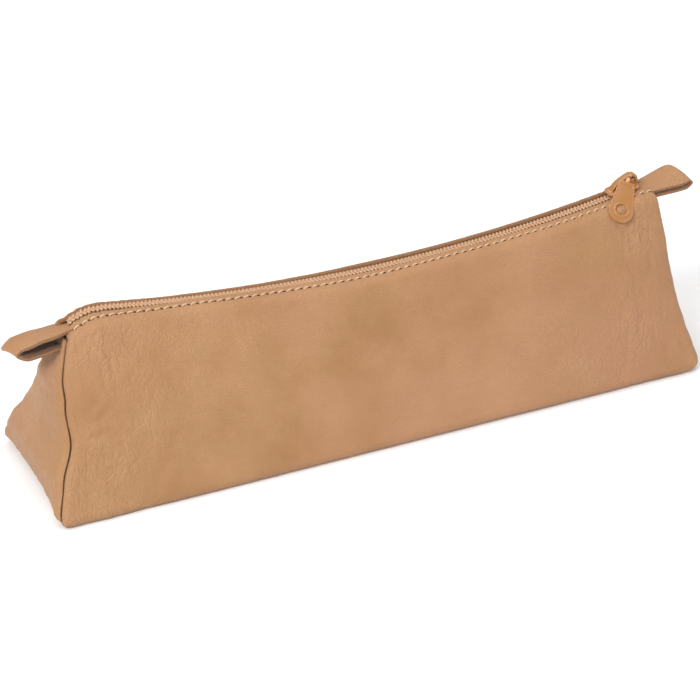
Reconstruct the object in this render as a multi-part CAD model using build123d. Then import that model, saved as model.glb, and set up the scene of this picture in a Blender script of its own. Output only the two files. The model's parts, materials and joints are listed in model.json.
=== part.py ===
"""Zipped leather pen case: a long pouch of triangular section with a zipper along its ridge.

+X runs along the zipper towards its closed end, -Y is the front wall and +Z is up. The origin is
the centre of the resting face. The zipper line is an arc that sags between its two ends, so
everything on it is turned about one far axis, and the slider travels about that same axis.
"""
import math
import os

from build123d import *

# Pouch, in millimetres
base_length = 212.0        # resting face, along the zipper
base_width = 55.0          # resting face, front to back
leather = 1.4              # thickness of the leather everywhere
zip_height = 46.9          # upper face of the zipper tapes at mid-length
zip_radius = 520.0         # the sagging zipper line is an arc of this radius
edge_y = 4.4               # middle of the leather's thickness at its raw upper edges
fold_radius = 0.8          # the leather bulges a little where it folds
end_height = 55.0          # height at which the two end leans below are measured
left_lean = 14.0           # how far the left end panel leans in over that height
right_lean = 7.0           # the same at the right end
panel_clearance = 0.3      # room between parts that move apart
band_depth = 8.5           # upper band of each wall, to which the zipper tape is sewn

# Zipper
tape_thickness = 0.6
tape_inner = 1.3           # from the middle to each tape's inner edge
tape_shoulder = 3.25       # from the middle to the tape's bend under the leather
tape_drop = 7.5            # depth of the tape's sewn flange
tape_slope = 0.36          # sideways run of that flange for each unit of drop
coil_width, coil_height = 1.9, 1.3
coil_radius = 0.6
cord_radius = 0.27         # filler cord inside each coil
thread_width, thread_height = 0.45, 0.3
topstitch_drop = 2.4       # seam line below the raw edge
slider_x = 90.3            # slider at the closed end
tape_left, tape_right = -90.8, 96.5
coil_left, coil_right = -88.0, slider_x - 1.0

# Slider and pull
plate_length, plate_width, plate_thickness = 10.6, 6.7, 1.0
plate_top = 2.6            # above the tapes
lower_plate_width = 5.6
post_length, post_width = 3.0, 2.0
strap_width = 1.5
pivot_x, pivot_z = 3.3, 5.95     # middle of the arched cap's crest, from the slider's middle
pawl_foot = (-2.0, plate_top + 0.3)
pull_length = 17.4         # pivot to the rounded end
pull_top_width, pull_end_width = 5.2, 8.0
pull_thickness = 1.0
pull_shoulder = 3.3        # pivot to the plate's upper edge
neck_width = 1.3           # bar that joins the plate to its eye
eye_radius, eye_hole_radius, eye_width = 2.0, 1.25, 1.2
pull_hole_radius = 2.2
pull_hole_inset = 4.3
pull_side, pull_up = (0.837, -0.449, -0.313), (0.545, 0.615, 0.570)   # as it hangs at rest

# Tabs
tab_root_half, tab_tip_half = 4.0, 5.4
tab_leather, tab_gap = 1.2, 1.2
tab_start = 4.0            # length kept inside the end face before it is trimmed
left_tab = (110.5, 51.0, -15.0)    # reach from the origin, height at the root, rise in degrees
right_tab = (116.0, 54.0, 15.0)

fold_y = base_width / 2 - fold_radius
fold_z = fold_radius
zip_axis = Axis((0, 0, zip_height + zip_radius), (0, 1, 0))


def zip_z(x):
    """Height of the zipper line at x."""
    return zip_height + zip_radius - math.sqrt(zip_radius**2 - x**2)


def zip_angle(x):
    """Turn about the zipper's far axis, in degrees, that carries x = 0 to x."""
    return -math.degrees(math.asin(x / zip_radius))


def at_zip(shape, x):
    """Carry a shape built over the origin's zipper point along the zipper to x."""
    return shape.rotate(zip_axis, zip_angle(x))


def along_zip(profile, x_from, x_to):
    """Turn a section through the zipper into a bar that follows it."""
    return revolve(at_zip(profile, x_to), zip_axis, zip_angle(x_from) - zip_angle(x_to))


def section(points):
    """Closed outline in the plane across the zipper, from (y, z) above the zipper line."""
    return make_face(Plane.YZ * Pos(0, zip_height) * Polyline(*points, close=True))


def end_x(side, z):
    """Outer face of an end panel at height z; side is -1 for left, 1 for right."""
    lean = left_lean if side < 0 else right_lean
    return side * (base_length / 2 - lean * z / end_height)


def body_block():
    """Everything between the two leaning end faces."""
    top = 2 * end_height
    corners = [(end_x(-1, -5), -5), (end_x(1, -5), -5), (end_x(1, top), top), (end_x(-1, top), top)]
    return extrude(make_face(Plane.XZ * Polyline(*corners, close=True)), base_width, both=True)


def wall_half_width(x, z):
    """Half the room between the two walls' inner faces."""
    slope = (fold_y - edge_y) / (zip_z(x) - fold_z)
    return fold_y - slope * (z - fold_z) - leather / 2 * math.hypot(1, slope)


def front_wall():
    """Sheet ruled from the straight bottom fold up to the sagging raw edge."""
    half = base_length / 2
    profiles = []
    for x in (-half, -half / 2, 0, half / 2, half):
        low = Vector(x, -fold_y, fold_z)
        high = Vector(x, -edge_y, zip_z(x))
        across = (high - low).normalized().cross(Vector(1, 0, 0)) * (leather / 2)
        corners = [low - across, high - across, high + across, low + across]
        profiles.append(make_face(Polyline(*corners, close=True)))
    return loft(profiles) & body_block()


def band_room():
    """Room along the zipper that holds the wall's upper band."""
    y = base_width / 2
    outline = section([(-y, -band_depth), (0, -band_depth), (0, leather), (-y, leather)])
    return along_zip(outline, -base_length / 2, base_length / 2)


def front_panel():
    """Wall below the sewn band, with its round bottom fold."""
    fold = Pos(0, -fold_y, fold_z) * Rot(0, 90, 0) * Cylinder(fold_radius, base_length)
    return front_wall() - band_room() + fold


def end_panel(side):
    """Leaning end panel that stands on the base between the two walls."""
    top = end_height - 2
    inward = -side * leather
    face = [(end_x(side, leather), leather), (end_x(side, top), top)]
    corners = face + [(x + inward, z) for x, z in reversed(face)]
    slab = extrude(make_face(Plane.XZ * Polyline(*corners, close=True)), base_width, both=True)
    x_top = end_x(side, end_height)
    low = wall_half_width(x_top, leather) - panel_clearance
    high = wall_half_width(x_top, top) - panel_clearance
    room = make_face(Plane.YZ * Polyline((-low, leather), (low, leather), (high, top), (-high, top),
                                         close=True))
    return slab & extrude(room, base_length, both=True)


def end_seam(side):
    """Thread that joins an end panel to the base and to both walls, just inside its edges."""
    radius = thread_height / 2
    inset = 1.5
    x_top = end_x(side, end_height)
    heights = (leather + 2, end_height - 4)
    spots = []
    for z in heights:
        x = end_x(side, z) - side * (leather + thread_height)
        spots.append((x, wall_half_width(x_top, z) - inset, z))
    (x0, y0, z0), (x1, y1, z1) = spots
    path = Polyline((x1, -y1, z1), (x0, -y0, z0), (x0, y0, z0), (x1, y1, z1))
    runs = Part()
    for edge in path.edges():
        runs += Solid.make_cylinder(radius, edge.length, Plane(edge @ 0, z_dir=edge % 0))
        runs += Pos(*(edge @ 0)) * Sphere(radius)
    return runs + Pos(*(path @ 1)) * Sphere(radius)


def tab(side, reach, height, rise):
    """Folded strip: two layers joined by a round turn at the tip, wider there than at the root."""
    root = end_x(side, height)
    outer = tab_leather + tab_gap / 2
    length = (reach - abs(root)) / math.cos(math.radians(rise))
    legs = Rectangle(length + tab_start - outer, 2 * outer, align=(Align.MIN, Align.CENTER))
    loop = legs + Pos(length + tab_start - outer, 0) * Circle(outer)
    gap = Rectangle(length + tab_start - outer, tab_gap, align=(Align.MIN, Align.CENTER))
    gap += Pos(length + tab_start - outer, 0) * Circle(tab_gap / 2)
    strip = extrude(Plane.XZ * Pos(-tab_start, 0) * (loop - gap), 2 * tab_tip_half, both=True)
    shape = [(-tab_start, -tab_root_half), (length * 0.2, -tab_root_half), (length, -tab_tip_half),
             (length, tab_tip_half), (length * 0.2, tab_root_half), (-tab_start, tab_root_half)]
    strip &= extrude(make_face(Polyline(*shape, close=True)), 2 * outer, both=True)
    strip = Rot(0, -rise, 0) * strip
    if side < 0:
        strip = mirror(strip, Plane.YZ)
    return Pos(root, 0, height) * strip - body_block()


def front_tape():
    """Woven tape: a flat strip beside the coil, then a flange sewn inside the wall."""
    run = tape_drop * tape_slope
    points = [(-tape_inner, 0), (-tape_shoulder, 0), (-tape_shoulder - run, -tape_drop),
              (-tape_shoulder - run + tape_thickness, -tape_drop),
              (-tape_shoulder + tape_thickness / 2, -tape_thickness), (-tape_inner, -tape_thickness)]
    return along_zip(section(points), tape_left, tape_right)


def coil_place():
    rest_gap = 0.02
    return Pos(-panel_clearance / 2 - coil_width / 2, zip_height + coil_height / 2 + rest_gap)


def front_coil():
    """One side's nylon coil, as the bar that its turns fill, with room for its cord."""
    outline = RectangleRounded(coil_width, coil_height, coil_radius) - Circle(cord_radius + 0.05)
    return along_zip(Plane.YZ * coil_place() * outline, coil_left, coil_right)


def front_coil_cord():
    return along_zip(Plane.YZ * coil_place() * Circle(cord_radius), coil_left, coil_right)


def thread_bar(y, z):
    """Thread laid along the zipper at (y, z) from its middle line."""
    outline = RectangleRounded(thread_width, thread_height, thread_height * 0.45)
    return Plane.YZ * Pos(y, zip_height + z) * outline


def front_coil_thread():
    """Chain stitch that holds the coil down on its tape, beside the turns."""
    middle = panel_clearance / 2 + coil_width + thread_width / 2 + 0.05
    return along_zip(thread_bar(-middle, thread_height / 2), coil_left, coil_right)


def front_topstitch():
    """Seam through leather and tape, a little below the raw edge."""
    y = -edge_y - leather - topstitch_drop * 0.4
    return along_zip(thread_bar(y, -topstitch_drop), tape_left + 2, tape_right)


def slider_body():
    """Upper and lower plates joined by the post that parts the two coils."""
    upper = Pos(0, 0, plate_top - plate_thickness / 2) * Box(
        plate_length, plate_width, plate_thickness)
    upper = fillet(upper.edges().filter_by(Axis.Z), 2.0)
    lip_height = plate_top - panel_clearance
    lip = Box(plate_length * 0.6, 0.6, lip_height, align=(Align.CENTER, Align.CENTER, Align.MAX))
    for side in (-1, 1):
        upper += Pos(0, side * (plate_width / 2 - 0.3), plate_top) * lip
    lower_top = -tape_thickness - panel_clearance
    lower = Pos(0, 0, lower_top - plate_thickness / 2) * Box(
        plate_length, lower_plate_width, plate_thickness)
    lower = fillet(lower.edges().filter_by(Axis.Z), 2.0)
    post_height = plate_top - lower_top
    post = Pos(plate_length / 2 - post_length / 2 - 0.6, 0, (plate_top + lower_top) / 2) * Box(
        post_length, post_width, post_height)
    post = fillet(post.edges().filter_by(Axis.Z), 0.8)
    slot = Pos(0.4, 0, plate_top) * Box(1.0, 1.4, 4 * plate_thickness)
    upper -= slot
    return at_zip(Pos(0, 0, zip_height) * (upper + lower + post), slider_x)


def arch(points):
    """Face under a curve that rises from one foot and falls to the other."""
    curve = Spline(*points)
    return make_face(Plane.XZ * (curve + Line(points[-1], points[0])))


def slider_cap():
    """Arched strap that rises slowly from the back and turns down at the nose."""
    outer = arch([(-4.4, plate_top), (-1.8, 4.7), (1.4, 5.9), (3.4, 6.2), (5.3, 5.4), (5.9, plate_top)])
    inner = arch([(-3.3, plate_top), (-1.4, 4.1), (1.4, 5.1), (3.3, 5.4), (4.6, 4.6), (5.0, plate_top)])
    strap = extrude(outer - inner, strap_width / 2, both=True)
    return at_zip(Pos(0, 0, zip_height) * strap, slider_x)


def lock_pawl():
    """Bent leaf under the cap: a round foot and a tip that reaches down between the turns."""
    thickness, width, foot_radius = 0.3, 1.0, 0.25
    foot_x, foot_z = pawl_foot
    high = plate_top + 0.5
    tip = coil_height + 0.1
    outline = [(foot_x, high), (0.4, high), (0.4, tip), (0.4 + thickness, tip),
               (0.4 + thickness, high + thickness), (foot_x + 0.1, high + thickness)]
    leaf = extrude(make_face(Plane.XZ * Polyline(*outline, close=True)), width / 2, both=True)
    leaf += Pos(foot_x, 0, foot_z) * Rot(90, 0, 0) * Cylinder(foot_radius, width)
    return at_zip(Pos(0, 0, zip_height) * leaf, slider_x)


def pull_tab():
    """Flat pull: an eye turned across it for the cap's strap, a widening plate and a round hole."""
    end_centre = pull_length - pull_end_width / 2
    half_top, half_end = pull_top_width / 2, pull_end_width / 2
    plate = make_face(Polyline((-half_top, -pull_shoulder), (half_top, -pull_shoulder),
                               (half_end, -end_centre), (-half_end, -end_centre), close=True))
    plate = fillet(plate.vertices().group_by(Axis.Y)[-1], 1.2)
    plate += Pos(0, -end_centre) * Circle(half_end)
    plate -= Pos(0, -pull_length + pull_hole_inset) * Circle(pull_hole_radius)
    neck = pull_shoulder - eye_hole_radius - 0.5
    plate += Pos(0, -pull_shoulder) * Rectangle(neck_width, 2 * neck)
    hanging = Plane((0, 0, 0), x_dir=pull_side, z_dir=Vector(*pull_side).cross(Vector(*pull_up)))
    plate = hanging * extrude(plate, pull_thickness / 2, both=True)
    eye = extrude(Plane.YZ * Circle(eye_radius), eye_width / 2, both=True)
    bore = extrude(Plane.YZ * Circle(eye_hole_radius), 2 * eye_width, both=True)
    return eye + plate - bore


def on_slider(local_x, local_z):
    """Place on the slider's middle plane, in the part's own frame."""
    turn = math.radians(zip_angle(slider_x))
    x, z = local_x, local_z - zip_radius
    x, z = x * math.cos(turn) + z * math.sin(turn), z * math.cos(turn) - x * math.sin(turn)
    return Vector(x, 0, z + zip_height + zip_radius)


front = {
    "panel": front_panel(),
    "band": front_wall() & band_room(),
    "tape": front_tape(),
    "coil": front_coil(),
    "coil_cord": front_coil_cord(),
    "coil_thread": front_coil_thread(),
    "topstitch": front_topstitch(),
}
base_half = wall_half_width(0, leather) - panel_clearance
nodes = {
    "base_panel": Pos(0, 0, leather / 2) * Box(base_length, 2 * base_half, leather),
    "left_gusset": end_panel(-1),
    "right_gusset": end_panel(1),
    "left_end_seam": end_seam(-1),
    "right_end_seam": end_seam(1),
    "left_tab": tab(-1, *left_tab),
    "right_tab": tab(1, *right_tab),
    "slider_body": slider_body(),
    "slider_cap": slider_cap(),
    "lock_pawl": lock_pawl(),
    "pull_tab": Pos(*on_slider(pivot_x, pivot_z)) * pull_tab(),
}
for name, shape in front.items():
    nodes["front_" + name] = shape
    nodes["back_" + name] = mirror(shape, Plane.XZ)

os.makedirs("parts", exist_ok=True)
for name, shape in nodes.items():
    export_step(shape, f"parts/{name}.step")

print("pull pivot", on_slider(pivot_x, pivot_z), "pawl foot", on_slider(*pawl_foot))
print("zipper axis height", zip_height + zip_radius, "fold", fold_y, fold_z)
print("slider travel, degrees", zip_angle(-85) - zip_angle(slider_x))
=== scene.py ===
# %% [markdown]
# # A zipped leather pen case
# The case is a folded leather wrap, two end panels, two tabs and a coil zipper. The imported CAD
# model is the fixed frame: it says where every part is and what moves. Here each soft part gets
# its real surface, and each repeated part is laid along the zipper's line.

# %% Load the frame
import json
import math

import bmesh
import bpy
import numpy as np
from mathutils import Matrix, Vector, noise


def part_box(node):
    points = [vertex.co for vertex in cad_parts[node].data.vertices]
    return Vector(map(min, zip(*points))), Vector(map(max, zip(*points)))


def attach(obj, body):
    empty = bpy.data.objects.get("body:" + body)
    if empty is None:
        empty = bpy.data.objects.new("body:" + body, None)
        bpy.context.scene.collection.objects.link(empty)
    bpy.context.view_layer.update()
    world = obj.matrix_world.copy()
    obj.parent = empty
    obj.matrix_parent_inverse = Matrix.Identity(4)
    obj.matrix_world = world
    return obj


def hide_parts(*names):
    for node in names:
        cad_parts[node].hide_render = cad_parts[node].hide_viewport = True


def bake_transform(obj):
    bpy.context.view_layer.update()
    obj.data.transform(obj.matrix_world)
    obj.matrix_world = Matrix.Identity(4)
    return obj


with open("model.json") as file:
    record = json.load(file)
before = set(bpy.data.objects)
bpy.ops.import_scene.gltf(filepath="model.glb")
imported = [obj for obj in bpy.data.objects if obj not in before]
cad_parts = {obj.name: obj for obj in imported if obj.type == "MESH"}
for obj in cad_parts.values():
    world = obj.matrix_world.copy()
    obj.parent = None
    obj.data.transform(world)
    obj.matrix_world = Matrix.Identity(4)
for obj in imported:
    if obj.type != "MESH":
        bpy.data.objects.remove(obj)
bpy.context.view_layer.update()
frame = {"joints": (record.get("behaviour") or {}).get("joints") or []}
joints = {joint["name"]: joint for joint in frame["joints"]}

# %% [markdown]
# ## Sizes
# Sizes come from the frame where it holds them: the length of the base, the width at the folds,
# the height of the zipper and the far axis that its sagging line turns about. The rest are a
# leather worker's own sizes, such as the thickness of the hide and the radius of a fold.

# %% Sizes, in metres
MM = 0.001
half_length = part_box("base_panel")[1].x
half_width = -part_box("front_panel")[0].y
zip_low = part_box("front_coil")[0].z
zip_axis_z = joints["slider_travel"]["pos_m"][2]
zip_radius = zip_axis_z - zip_low
slider_x = 90.3 * MM
end_height = 55 * MM
left_lean, right_lean = 14 * MM, 7 * MM
leather = 1.4 * MM
fold_radius = 2.8 * MM
raw_edge_y = 2.8 * MM
print("length", half_length * 2, "width", half_width * 2, "zipper radius", round(zip_radius, 4))


# %% [markdown]
# ## Curves that the whole case shares
# The zipper line is an arc that sags between two humps and dives into the end seams. The ends of
# the case lean inward as they rise, and hand-sewn ends are never straight, so each seam wanders
# by a millimetre or two. Small functions hold these rules, and every part asks them.

# %% Shared curves
def smooth(value, low, high):
    """0 below low, 1 above high, and a smooth rise between them."""
    t = np.clip((value - low) / (high - low), 0, 1)
    return t * t * (3 - 2 * t)


def through(points, value):
    """Smooth curve through a few given (place, amount) points, all in millimetres."""
    places, amounts = zip(*points)
    value = np.clip(np.asarray(value, float) / MM, places[0], places[-1])
    index = np.clip(np.searchsorted(places, value) - 1, 0, len(places) - 2)
    low, high = np.take(places, index), np.take(places, index + 1)
    t = (value - low) / (high - low)
    t = t * t * (3 - 2 * t)
    return (np.take(amounts, index) * (1 - t) + np.take(amounts, index + 1) * t) * MM


ZIP_DIVE = [(-96, -7.5), (-92, -4.6), (-89.3, -2.7), (-87, -1.4), (-84.5, -0.5), (-80, 0),
            (93, 0), (97, -0.6), (99, -1.7), (102, -4.5)]


def zip_z(x):
    """Height of the zipper tapes at x, with the dive at each end."""
    arc = zip_axis_z - np.sqrt(zip_radius**2 - np.asarray(x, float) ** 2)
    return arc + through(ZIP_DIVE, x)


# How far a seam wanders outward (+) or inward (-) at each height.
SEAM_WANDER = {
    (-1, "front"): [(0, -0.4), (5, 0.7), (13, 0.2), (22, -1.5), (33, 0.6), (40, 1.7), (56, 1.0)],
    (-1, "back"): [(0, -0.4), (4, 2.0), (8, 3.2), (12, 3.1), (17, 1.2), (25, 0.3), (31, 0.7),
                   (37, 1.6), (56, 2.2)],
    (1, "front"): [(0, 0.2), (4, 2.5), (9, 1.9), (15, 0.8), (23, -0.3), (34, -0.3), (44, 0.9), (56, 1.0)],
    (1, "back"): [(0, -0.4), (5, 1.6), (15, 0.7), (26, -0.4), (40, 0.5), (56, 0.8)],
}


def end_x(side, wall, y, z):
    """The seam line of an end; side is -1 for the left end, 1 for the right."""
    z = np.asarray(z, float)
    lean = left_lean if side < 0 else right_lean
    out = half_length - lean * z / end_height + through(SEAM_WANDER[side, wall], z)
    across = np.clip(1 - (np.asarray(y) / (24 * MM)) ** 2, 0, 1)
    return side * (out - 2.0 * MM * across * (1 - smooth(z, 2 * MM, 12 * MM)))


def fbm(points, size, octaves=3, seed=0.0):
    """Fractal noise from -1 to 1 at an array of points, for features of about this size."""
    shift = Vector((seed * 3.1, seed * 1.7, seed * 2.3))
    values = [noise.fractal(Vector(p) / size + shift, 1.0, 2.0, octaves) for p in points]
    return np.array(values)


# %% [markdown]
# ## Camera, floor and light
# A long lens a little above the case shows its front wall, its left end and the zipper together.
# The floor is plain and pale. Three large soft lights stand in for a product photographer's
# tent: a key from the upper left, a fill from the right and a broad top light.

# %% Camera
scene = bpy.context.scene
azimuth, elevation = math.radians(-24.3), math.radians(30.9)
back = Vector((math.sin(azimuth) * math.cos(elevation),
               -math.cos(azimuth) * math.cos(elevation), math.sin(elevation)))
camera = bpy.data.objects.new("camera", bpy.data.cameras.new("camera"))
scene.collection.objects.link(camera)
camera.data.lens = 100.3
camera.data.sensor_width = 36
camera.data.clip_start, camera.data.clip_end = 0.05, 20
camera.location = Vector((-3.7 * MM, 0, 20.5 * MM)) + back * 0.6
camera.rotation_mode = "QUATERNION"
camera.rotation_quaternion = (-back).to_track_quat("-Z", "Y")
scene.camera = camera
scene.view_settings.view_transform = "Standard"
print("camera at", [round(value, 3) for value in camera.location])


# %% Floor and lights
def principled(name, color, roughness=0.5, **values):
    """A material with one Principled shader; further constant inputs are given by name."""
    material = bpy.data.materials.new(name)
    material.use_nodes = True
    shader = material.node_tree.nodes["Principled BSDF"]
    shader.inputs["Base Color"].default_value = (*color, 1)
    shader.inputs["Roughness"].default_value = roughness
    for socket, value in values.items():
        shader.inputs[socket.replace("_", " ")].default_value = value
    return material


def soft_light(name, place, target, size, power):
    """A square area light that looks at a point."""
    lamp = bpy.data.lights.new(name, "AREA")
    lamp.size = size
    lamp.energy = power
    lamp_object = bpy.data.objects.new(name, lamp)
    lamp_object.location = place
    direction = Vector(target) - Vector(place)
    lamp_object.rotation_euler = direction.to_track_quat("-Z", "Y").to_euler()
    scene.collection.objects.link(lamp_object)


bpy.ops.mesh.primitive_plane_add(size=6)
floor = bpy.context.object
floor.name = "floor"
floor.data.materials.append(principled("floor_paper", (0.92, 0.92, 0.92), 0.9))
middle = (0, 0, 0.03)
soft_light("key", (-0.75, -0.5, 0.8), middle, 0.42, 10.5)
soft_light("fill", (0.8, -0.8, 0.6), middle, 0.8, 3.6)
soft_light("top", (0.1, 0.25, 1.1), middle, 1.2, 8)
world = bpy.data.worlds.new("studio")
world.use_nodes = True
world.node_tree.nodes["Background"].inputs["Color"].default_value = (1, 1, 1, 1)
world.node_tree.nodes["Background"].inputs["Strength"].default_value = 0.42
scene.world = world


# %% [markdown]
# ## Leather grain as a node group
# Natural leather shows several scales at once: clouds of lighter and darker tan, fine creases,
# wrinkles that deepen towards the two ends, and a pebble of pores under a millimetre wide. One
# group puts out a colour mask, a height and the pores, and the leather chooses their strengths.

# %% Node helpers
def new_group(name, inputs, outputs):
    """A shader node group with named sockets: {name: (type, default)}."""
    group = bpy.data.node_groups.new(name, "ShaderNodeTree")
    for socket, (kind, value) in inputs.items():
        made = group.interface.new_socket(socket, in_out="INPUT", socket_type="NodeSocket" + kind)
        if value is not None:
            made.default_value = value
    for socket, kind in outputs.items():
        group.interface.new_socket(socket, in_out="OUTPUT", socket_type="NodeSocket" + kind)
    return group, group.nodes.new("NodeGroupInput"), group.nodes.new("NodeGroupOutput")


def add(tree, kind, links=(), **values):
    """Adds a node, sets its properties and plugs (input, source) pairs or constants into it."""
    node = tree.nodes.new(kind)
    for name, value in values.items():
        setattr(node, name, value)
    for socket, source in links:
        if isinstance(source, bpy.types.NodeSocket):
            tree.links.new(source, node.inputs[socket])
        else:
            node.inputs[socket].default_value = source
    return node


def math_node(tree, operation, a, b):
    """One step of arithmetic on two values or sockets."""
    return add(tree, "ShaderNodeMath", [(0, a), (1, b)], operation=operation).outputs[0]


def mix_color(tree, factor, a, b, blend_type="MIX"):
    """Mixes two colours by a factor."""
    node = add(tree, "ShaderNodeMix", data_type="RGBA", blend_type=blend_type)
    for index, value in ((0, factor), (6, a), (7, b)):
        if isinstance(value, bpy.types.NodeSocket):
            tree.links.new(value, node.inputs[index])
        else:
            node.inputs[index].default_value = value
    return node.outputs[2]


def ramp(tree, value, low=0.0, high=1.0, to=(0.0, 1.0), kind="LINEAR"):
    """Stretches the range from low to high of a value to another range."""
    links = [("Value", value), ("From Min", low), ("From Max", high), ("To Min", to[0]), ("To Max", to[1])]
    return add(tree, "ShaderNodeMapRange", links, interpolation_type=kind).outputs[0]


def noise_at(tree, place, scale, detail, **more):
    """A noise texture at a place; further constant inputs are given by name."""
    return add(tree, "ShaderNodeTexNoise", [("Vector", place), ("Scale", scale), ("Detail", detail),
                                            *more.items()])


def pushed(tree, place, scale, detail, amount):
    """A place shifted by up to an amount, in metres, in the directions of a noise texture."""
    push = noise_at(tree, place, scale, detail).outputs["Color"]
    push = add(tree, "ShaderNodeVectorMath", [(0, push), (1, (amount,) * 3)], operation="MULTIPLY")
    moved = add(tree, "ShaderNodeVectorMath", [(0, place), (1, push.outputs[0])], operation="ADD")
    return moved.outputs[0]


def cells(tree, place, scale, edge):
    """Rounded cells: 0 in the grooves between them, 1 beyond the width of an edge."""
    cell = add(tree, "ShaderNodeTexVoronoi", [("Vector", place), ("Scale", scale)],
               feature="DISTANCE_TO_EDGE")
    return ramp(tree, cell.outputs["Distance"], 0.0, edge, kind="SMOOTHSTEP")


# %% Leather grain group
grain, grain_in, grain_out = new_group(
    "leather_grain",
    {"Pebble": ("Float", 1400.0), "Crease": ("Float", 260.0), "Clouds": ("Float", 38.0)},
    {"Cloud": "Float", "Height": "Float", "Pores": "Float"})
coords = add(grain, "ShaderNodeTexCoord").outputs["Object"]
clouds = noise_at(grain, coords, grain_in.outputs["Clouds"], 5.0, Roughness=0.6)
warped = pushed(grain, coords, 300.0, 2.0, 1.2 * MM)
pebble = cells(grain, warped, grain_in.outputs["Pebble"], 0.25)
crease = noise_at(grain, coords, grain_in.outputs["Crease"], 4.0, Roughness=0.62, Distortion=1.1)
bent = pushed(grain, coords, 120.0, 3.0, 5 * MM)
bent = add(grain, "ShaderNodeMapping", [("Vector", bent), ("Scale", (1.5, 1.5, 0.8))]).outputs[0]
wrinkle = cells(grain, bent, 330.0, 0.16)
flat_x = math_node(grain, "ABSOLUTE", add(grain, "ShaderNodeSeparateXYZ", [(0, coords)]).outputs[0], 0.0)
wear_and_edge_highlight = ramp(grain, flat_x, 45 * MM, 85 * MM, (0.15, 1.15))
fine = noise_at(grain, coords, 2600.0, 2.0)
crease_mask = ramp(grain, clouds.outputs["Fac"], 0.42, 0.62)
creases = math_node(grain, "MULTIPLY", crease.outputs["Fac"], crease_mask)
height = math_node(grain, "MULTIPLY", pebble, 0.32)
height = math_node(grain, "ADD", height, math_node(grain, "MULTIPLY", creases, 0.9))
height = math_node(grain, "ADD", height, math_node(grain, "MULTIPLY", fine.outputs["Fac"], 0.25))
wear_and_edge_highlight = math_node(grain, "MULTIPLY", wear_and_edge_highlight, crease_mask)
height = math_node(grain, "ADD", height, math_node(grain, "MULTIPLY", wrinkle, wear_and_edge_highlight))
grain.links.new(clouds.outputs["Fac"], grain_out.inputs["Cloud"])
grain.links.new(height, grain_out.inputs["Height"])
grain.links.new(pebble, grain_out.inputs["Pores"])
print("leather grain group has", len(grain.nodes), "nodes")


# %% [markdown]
# ## The finishes
# The outer leather is a warm tan with pinkish and yellowish clouds and a soft sheen. Its flesh
# side and cut edges are rough suede, darker where light can't reach between the fibres; the flesh
# side is painted dark all over, as painted shade for the gaps in the tab and inside the case. The
# zipper tape is a plain weave, its coil glossy nylon, the thread pale, and the slider and
# pull carry a thick tan enamel whose convex corners are painted lighter, a painted highlight.

# %% Leather materials
def bumped(material, height_socket, strength, distance):
    """Feeds a height into the material's normal through one Bump node."""
    tree = material.node_tree
    bump = add(tree, "ShaderNodeBump", [("Height", height_socket), ("Strength", strength),
                                        ("Distance", distance)])
    tree.links.new(bump.outputs[0], tree.nodes["Principled BSDF"].inputs["Normal"])


def leather_material(name, light, dark, tint):
    """Tan grain leather with mottled colour."""
    material = principled(name, light, 0.5, Specular_IOR_Level=0.24, Sheen_Weight=0.02,
                          Sheen_Roughness=0.4)
    tree = material.node_tree
    group = add(tree, "ShaderNodeGroup", node_tree=grain)
    shader = tree.nodes["Principled BSDF"]
    cloud = ramp(tree, group.outputs["Cloud"], 0.34, 0.68)
    color = mix_color(tree, cloud, (*dark, 1), (*light, 1))
    place = add(tree, "ShaderNodeTexCoord").outputs["Object"]
    patch = ramp(tree, noise_at(tree, place, 17.0, 3.0).outputs["Fac"], 0.4, 0.7)
    color = mix_color(tree, math_node(tree, "MULTIPLY", patch, 0.5), color, (*tint, 1))
    pores = ramp(tree, group.outputs["Pores"], to=(0.95, 1.0))
    color = mix_color(tree, 1.0, color, pores, "MULTIPLY")
    tree.links.new(color, shader.inputs["Base Color"])
    rough = ramp(tree, group.outputs["Cloud"], to=(0.42, 0.58))
    tree.links.new(rough, shader.inputs["Roughness"])
    bumped(material, group.outputs["Height"], 0.55, 0.4 * MM)
    return material


def patterned(material, texture, light, dark, strength, distance):
    """Lets one texture drive both a material's colour and its bump; returns the colour."""
    tree = material.node_tree
    color = mix_color(tree, texture.outputs["Fac"], (*dark, 1), (*light, 1))
    tree.links.new(color, tree.nodes["Principled BSDF"].inputs["Base Color"])
    bumped(material, texture.outputs["Fac"], strength, distance)
    return color


def place_on(tree):
    """Coordinates fixed to the piece, in metres."""
    return add(tree, "ShaderNodeTexCoord").outputs["Object"]


def suede_material(name, light, dark):
    """Napped flesh side: short fibres, no shine."""
    material = principled(name, light, 0.92, Specular_IOR_Level=0.1, Sheen_Weight=0.35)
    tree = material.node_tree
    nap = noise_at(tree, place_on(tree), 900.0, 5.0, Roughness=0.75)
    patterned(material, nap, light, dark, 0.8, 0.4 * MM)
    return material


TAN, TAN_DARK, TAN_PINK = (0.435, 0.240, 0.116), (0.35, 0.178, 0.076), (0.44, 0.215, 0.126)
outer_leather = leather_material("tan_leather", TAN, TAN_DARK, TAN_PINK)
# The flesh side's dark colour is painted shade: it stands for the shade in the tab's gap and inside the
# case.
flesh_side = suede_material("flesh_side", (0.26, 0.125, 0.055), (0.10, 0.042, 0.018))
cut_edge = suede_material("cut_edge", (0.36, 0.185, 0.085), (0.19, 0.088, 0.038))
LEATHER_SET = [outer_leather, flesh_side, cut_edge]


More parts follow.
